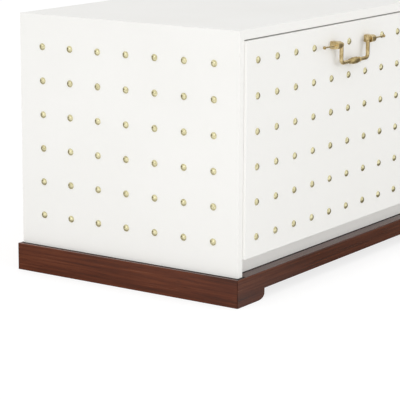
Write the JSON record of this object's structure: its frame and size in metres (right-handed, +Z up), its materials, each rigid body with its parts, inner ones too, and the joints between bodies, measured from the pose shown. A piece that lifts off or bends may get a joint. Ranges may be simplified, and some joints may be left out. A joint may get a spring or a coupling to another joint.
{
  "type": "campaign chest",
  "caption": "Low white lacquered chest with a grid of brass nail heads, wide drawers pulled by swinging brass bails, on a walnut plinth with shaped front feet.",
  "frame": {"origin": "on the floor, in the middle of the chest's whole footprint, handles included", "axes": "+X to the right seen from the front, +Y to the back, +Z up; the drawers pull out along -Y"},
  "size_m": [1.466, 0.5146, 0.488],
  "materials": {
    "white_lacquer": "satin white lacquer over board",
    "walnut": "dark reddish walnut, satin varnish",
    "brass": "polished, lightly lacquered",
    "maple": "clear matt varnish",
    "birch_plywood": "sanded, clear sealed",
    "pine": "planed, unfinished",
    "zinc_runners": "bright zinc plating",
    "zinc_screws": "yellow zinc plating"
  },
  "bodies": {
    "case": {"top_board": "white_lacquer", "left_side_panel": "white_lacquer", "right_side_panel": "white_lacquer", "front_rail": "white_lacquer", "top_rail": "white_lacquer", "centre_partition": "birch_plywood", "bottom_board": "birch_plywood", "back_panel": "birch_plywood", "plinth_front_board": "walnut", "plinth_back_board": "walnut", "plinth_left_board": "walnut", "plinth_right_board": "walnut", "plinth_corner_blocks": "pine", "plinth_centre_bearer": "pine", "left_side_nails": "brass", "right_side_nails": "brass", "back_panel_screws": "zinc_screws", "plinth_screws": "zinc_screws", "case_runner_screws": "zinc_screws", "left_bay_left_case_runner": "zinc_runners", "left_bay_right_case_runner": "zinc_runners", "right_bay_left_case_runner": "zinc_runners", "right_bay_right_case_runner": "zinc_runners"},
    "left_drawer": {"left_bay_left_drawer_runner": "zinc_runners", "left_bay_right_drawer_runner": "zinc_runners", "left_drawer_front": "white_lacquer", "left_drawer_box_front": "maple", "left_drawer_left_side": "maple", "left_drawer_right_side": "maple", "left_drawer_box_back": "maple", "left_drawer_bottom": "birch_plywood", "left_drawer_nails": "brass", "left_drawer_front_screws": "zinc_screws", "left_drawer_runner_screws": "zinc_screws", "left_handle_left_post": "brass", "left_handle_right_post": "brass", "left_handle_screws": "zinc_screws"},
    "left_runner_carriage": {"left_bay_left_middle_runner": "zinc_runners", "left_bay_right_middle_runner": "zinc_runners"},
    "left_bail": {"left_bail": "brass", "left_bail_finials": "brass"},
    "right_drawer": {"right_bay_left_drawer_runner": "zinc_runners", "right_bay_right_drawer_runner": "zinc_runners", "right_drawer_front": "white_lacquer", "right_drawer_box_front": "maple", "right_drawer_left_side": "maple", "right_drawer_right_side": "maple", "right_drawer_box_back": "maple", "right_drawer_bottom": "birch_plywood", "right_drawer_nails": "brass", "right_drawer_front_screws": "zinc_screws", "right_drawer_runner_screws": "zinc_screws", "right_handle_left_post": "brass", "right_handle_right_post": "brass", "right_handle_screws": "zinc_screws"},
    "right_runner_carriage": {"right_bay_left_middle_runner": "zinc_runners", "right_bay_right_middle_runner": "zinc_runners"},
    "right_bail": {"right_bail": "brass", "right_bail_finials": "brass"}
  },
  "joints": [
    {"name": "left_drawer_slide", "type": "slide", "parent": "case", "child": "left_drawer", "axis": [0, -1, 0], "range_m": [0, 0.4]},
    {"name": "left_carriage_slide", "type": "slide", "parent": "case", "child": "left_runner_carriage", "axis": [0, -1, 0], "range_m": [0, 0.2]},
    {"name": "left_bail_swing", "type": "hinge", "parent": "left_drawer", "child": "left_bail", "pos_m": [-0.35313, -0.25035, 0.4335], "axis": [-1, 0, 0], "range_deg": [-10, 90]},
    {"name": "right_drawer_slide", "type": "slide", "parent": "case", "child": "right_drawer", "axis": [0, -1, 0], "range_m": [0, 0.4]},
    {"name": "right_carriage_slide", "type": "slide", "parent": "case", "child": "right_runner_carriage", "axis": [0, -1, 0], "range_m": [0, 0.2]},
    {"name": "right_bail_swing", "type": "hinge", "parent": "right_drawer", "child": "right_bail", "pos_m": [0.35313, -0.25035, 0.4335], "axis": [-1, 0, 0], "range_deg": [-10, 90]}
  ],
  "couplings": [
    {"joint": "left_carriage_slide", "follows": "left_drawer_slide", "ratio": 0.5},
    {"joint": "right_carriage_slide", "follows": "right_drawer_slide", "ratio": 0.5}
  ]
}
